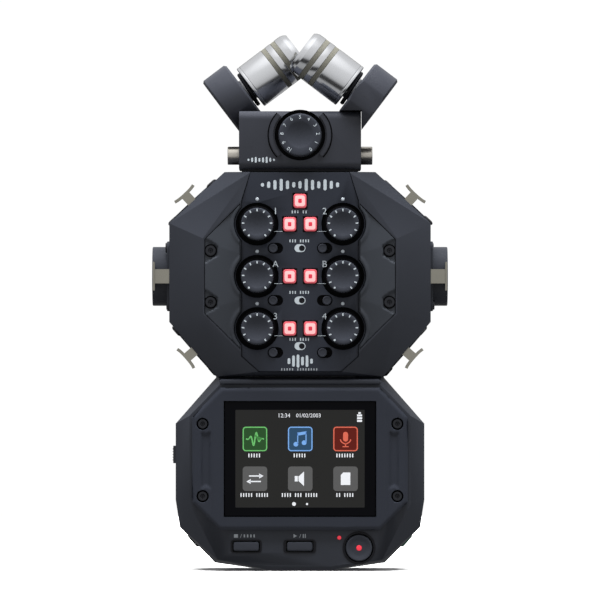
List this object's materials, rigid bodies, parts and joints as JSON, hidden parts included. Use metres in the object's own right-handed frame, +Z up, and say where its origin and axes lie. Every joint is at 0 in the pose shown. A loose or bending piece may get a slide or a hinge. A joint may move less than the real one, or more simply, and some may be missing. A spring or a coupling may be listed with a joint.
{
  "type": "portable field recorder",
  "caption": "Hand-held multitrack audio recorder with crossed stereo microphones, corner microphone sockets, gain knobs, lit buttons and a touch screen.",
  "frame": {"origin": "middle of the flat foot that the recorder stands on", "axes": "+X to the right seen from the front, +Y to the back, +Z up; the knobs and the screen face -Y"},
  "size_m": [0.1184, 0.0486, 0.2154],
  "materials": {
    "case_plastic": "fine-textured moulded plastic",
    "capsule_plastic": "satin moulded plastic",
    "panel_plastic": "smooth matt plastic with light prints",
    "knob_plastic": "soft matt plastic",
    "socket_plastic": "glass-filled matt plastic",
    "lit_lens": "translucent lens lit from behind",
    "screen_glass": "polished cover glass over a dark display",
    "nickel": "satin nickel plate",
    "mic_metal": "satin chrome on turned brass",
    "mic_mesh": "woven wire mesh",
    "circuit_board": "solder-masked board with parts",
    "battery_can": "printed cell sleeve"
  },
  "bodies": {
    "recorder": {"front_case": "case_plastic", "rear_case": "case_plastic", "control_panel": "panel_plastic", "left_cheek_plate": "case_plastic", "right_cheek_plate": "case_plastic", "screen_bezel": "panel_plastic", "touch_glass": "screen_glass", "display_module": "screen_glass", "main_board": "circuit_board", "xlr_jack_1": "socket_plastic", "xlr_jack_2": "socket_plastic", "xlr_jack_3": "socket_plastic", "xlr_jack_4": "socket_plastic", "combo_jack_a": "socket_plastic", "combo_jack_b": "socket_plastic", "battery_1": "battery_can", "battery_2": "battery_can", "battery_3": "battery_can", "battery_4": "battery_can"},
    "gain_knob_1": {"gain_knob_1": "knob_plastic"},
    "gain_knob_2": {"gain_knob_2": "knob_plastic"},
    "gain_knob_a": {"gain_knob_a": "knob_plastic"},
    "gain_knob_b": {"gain_knob_b": "knob_plastic"},
    "gain_knob_3": {"gain_knob_3": "knob_plastic"},
    "gain_knob_4": {"gain_knob_4": "knob_plastic"},
    "track_button_1": {"track_button_1": "lit_lens"},
    "track_button_2": {"track_button_2": "lit_lens"},
    "track_button_a": {"track_button_a": "lit_lens"},
    "track_button_b": {"track_button_b": "lit_lens"},
    "track_button_3": {"track_button_3": "lit_lens"},
    "track_button_4": {"track_button_4": "lit_lens"},
    "mic_in_button": {"mic_in_button": "lit_lens"},
    "pad_switch_1": {"pad_switch_1": "knob_plastic"},
    "pad_switch_2": {"pad_switch_2": "knob_plastic"},
    "pad_switch_a": {"pad_switch_a": "knob_plastic"},
    "pad_switch_b": {"pad_switch_b": "knob_plastic"},
    "pad_switch_3": {"pad_switch_3": "knob_plastic"},
    "pad_switch_4": {"pad_switch_4": "knob_plastic"},
    "stop_button": {"stop_button": "knob_plastic"},
    "play_button": {"play_button": "knob_plastic"},
    "record_button": {"record_button": "knob_plastic"},
    "xlr_latch_1": {"xlr_latch_1": "nickel"},
    "xlr_latch_2": {"xlr_latch_2": "nickel"},
    "xlr_latch_3": {"xlr_latch_3": "nickel"},
    "xlr_latch_4": {"xlr_latch_4": "nickel"},
    "combo_latch_a": {"combo_latch_a": "nickel"},
    "combo_latch_b": {"combo_latch_b": "nickel"},
    "power_switch": {"power_switch": "knob_plastic"},
    "battery_door": {"battery_door": "case_plastic"},
    "card_door": {"card_door": "case_plastic"},
    "capsule": {"capsule_case": "capsule_plastic", "mic_arm_left": "capsule_plastic", "mic_arm_right": "capsule_plastic"},
    "mic_volume_knob": {"mic_volume_knob": "knob_plastic"},
    "release_button_left": {"release_button_left": "nickel"},
    "release_button_right": {"release_button_right": "nickel"},
    "mic_left": {"mic_barrel_left": "mic_metal", "mic_element_left": "mic_mesh"},
    "mic_right": {"mic_barrel_right": "mic_metal", "mic_element_right": "mic_mesh"}
  },
  "joints": [
    {"name": "gain_1_turn", "type": "hinge", "parent": "recorder", "child": "gain_knob_1", "pos_m": [-0.0171, -0.022, 0.1383], "axis": [0, 1, 0], "range_deg": [-150, 150]},
    {"name": "gain_2_turn", "type": "hinge", "parent": "recorder", "child": "gain_knob_2", "pos_m": [0.0171, -0.022, 0.1383], "axis": [0, 1, 0], "range_deg": [-150, 150]},
    {"name": "gain_a_turn", "type": "hinge", "parent": "recorder", "child": "gain_knob_a", "pos_m": [-0.0171, -0.022, 0.11745], "axis": [0, 1, 0], "range_deg": [-150, 150]},
    {"name": "gain_b_turn", "type": "hinge", "parent": "recorder", "child": "gain_knob_b", "pos_m": [0.0171, -0.022, 0.11745], "axis": [0, 1, 0], "range_deg": [-150, 150]},
    {"name": "gain_3_turn", "type": "hinge", "parent": "recorder", "child": "gain_knob_3", "pos_m": [-0.0171, -0.022, 0.0966], "axis": [0, 1, 0], "range_deg": [-150, 150]},
    {"name": "gain_4_turn", "type": "hinge", "parent": "recorder", "child": "gain_knob_4", "pos_m": [0.0171, -0.022, 0.0966], "axis": [0, 1, 0], "range_deg": [-150, 150]},
    {"name": "track_1_press", "type": "slide", "parent": "recorder", "child": "track_button_1", "axis": [0, 1, 0], "range_m": [0, 0.0005], "stiffness_N_per_m": 400},
    {"name": "track_2_press", "type": "slide", "parent": "recorder", "child": "track_button_2", "axis": [0, 1, 0], "range_m": [0, 0.0005], "stiffness_N_per_m": 400},
    {"name": "track_a_press", "type": "slide", "parent": "recorder", "child": "track_button_a", "axis": [0, 1, 0], "range_m": [0, 0.0005], "stiffness_N_per_m": 400},
    {"name": "track_b_press", "type": "slide", "parent": "recorder", "child": "track_button_b", "axis": [0, 1, 0], "range_m": [0, 0.0005], "stiffness_N_per_m": 400},
    {"name": "track_3_press", "type": "slide", "parent": "recorder", "child": "track_button_3", "axis": [0, 1, 0], "range_m": [0, 0.0005], "stiffness_N_per_m": 400},
    {"name": "track_4_press", "type": "slide", "parent": "recorder", "child": "track_button_4", "axis": [0, 1, 0], "range_m": [0, 0.0005], "stiffness_N_per_m": 400},
    {"name": "mic_in_press", "type": "slide", "parent": "recorder", "child": "mic_in_button", "axis": [0, 1, 0], "range_m": [0, 0.0005], "stiffness_N_per_m": 400},
    {"name": "pad_1_slide", "type": "slide", "parent": "recorder", "child": "pad_switch_1", "axis": [1, 0, 0], "range_m": [0, 0.0018]},
    {"name": "pad_2_slide", "type": "slide", "parent": "recorder", "child": "pad_switch_2", "axis": [1, 0, 0], "range_m": [0, 0.0018]},
    {"name": "pad_a_slide", "type": "slide", "parent": "recorder", "child": "pad_switch_a", "axis": [1, 0, 0], "range_m": [0, 0.0018]},
    {"name": "pad_b_slide", "type": "slide", "parent": "recorder", "child": "pad_switch_b", "axis": [-1, 0, 0], "range_m": [0, 0.0018]},
    {"name": "pad_3_slide", "type": "slide", "parent": "recorder", "child": "pad_switch_3", "axis": [1, 0, 0], "range_m": [0, 0.0018]},
    {"name": "pad_4_slide", "type": "slide", "parent": "recorder", "child": "pad_switch_4", "axis": [1, 0, 0], "range_m": [0, 0.0018]},
    {"name": "stop_press", "type": "slide", "parent": "recorder", "child": "stop_button", "axis": [0, 1, 0], "range_m": [0, 0.0005], "stiffness_N_per_m": 400},
    {"name": "play_press", "type": "slide", "parent": "recorder", "child": "play_button", "axis": [0, 1, 0], "range_m": [0, 0.0005], "stiffness_N_per_m": 400},
    {"name": "record_press", "type": "slide", "parent": "recorder", "child": "record_button", "axis": [0, 1, 0], "range_m": [0, 0.0005], "stiffness_N_per_m": 400},
    {"name": "xlr_latch_1_push", "type": "slide", "parent": "recorder", "child": "xlr_latch_1", "axis": [0.6801, 0, -0.7331], "range_m": [0, 0.0012], "stiffness_N_per_m": 300},
    {"name": "xlr_latch_2_push", "type": "slide", "parent": "recorder", "child": "xlr_latch_2", "axis": [-0.6801, 0, -0.7331], "range_m": [0, 0.0012], "stiffness_N_per_m": 300},
    {"name": "xlr_latch_3_push", "type": "slide", "parent": "recorder", "child": "xlr_latch_3", "axis": [0.7539, 0, 0.657], "range_m": [0, 0.0012], "stiffness_N_per_m": 300},
    {"name": "xlr_latch_4_push", "type": "slide", "parent": "recorder", "child": "xlr_latch_4", "axis": [-0.7539, 0, 0.657], "range_m": [0, 0.0012], "stiffness_N_per_m": 300},
    {"name": "combo_latch_a_push", "type": "slide", "parent": "recorder", "child": "combo_latch_a", "axis": [1, 0, 0], "range_m": [0, 0.0012], "stiffness_N_per_m": 300},
    {"name": "combo_latch_b_push", "type": "slide", "parent": "recorder", "child": "combo_latch_b", "axis": [-1, 0, 0], "range_m": [0, 0.0012], "stiffness_N_per_m": 300},
    {"name": "power_slide", "type": "slide", "parent": "recorder", "child": "power_switch", "axis": [0, 0, -1], "range_m": [0, 0.004], "stiffness_N_per_m": 150},
    {"name": "battery_door_swing", "type": "hinge", "parent": "recorder", "child": "battery_door", "pos_m": [0, 0.0223, 0.0138], "axis": [-1, 0, 0], "range_deg": [0, 90]},
    {"name": "card_door_swing", "type": "hinge", "parent": "recorder", "child": "card_door", "pos_m": [0.0495, 0.0141, 0.043], "axis": [0, 0, 1], "range_deg": [0, 90]},
    {"name": "capsule_lift", "type": "slide", "parent": "recorder", "child": "capsule", "axis": [0, 0, 1], "range_m": [0, 0.01]},
    {"name": "mic_volume_turn", "type": "hinge", "parent": "capsule", "child": "mic_volume_knob", "pos_m": [0, -0.02, 0.1739], "axis": [0, 1, 0], "range_deg": [-145, 145]},
    {"name": "release_left_push", "type": "slide", "parent": "capsule", "child": "release_button_left", "axis": [1, 0, 0], "range_m": [0, 0.0015], "stiffness_N_per_m": 300},
    {"name": "release_right_push", "type": "slide", "parent": "capsule", "child": "release_button_right", "axis": [-1, 0, 0], "range_m": [0, 0.0015], "stiffness_N_per_m": 300},
    {"name": "mic_left_twist", "type": "hinge", "parent": "capsule", "child": "mic_left", "pos_m": [-0.02256, 0.0098, 0.19167], "axis": [-0.8363, 0, -0.5483], "range_deg": [0, 180]},
    {"name": "mic_right_twist", "type": "hinge", "parent": "capsule", "child": "mic_right", "pos_m": [0.02256, -0.0098, 0.19167], "axis": [0.8363, 0, -0.5483], "range_deg": [0, 180]}
  ]
}
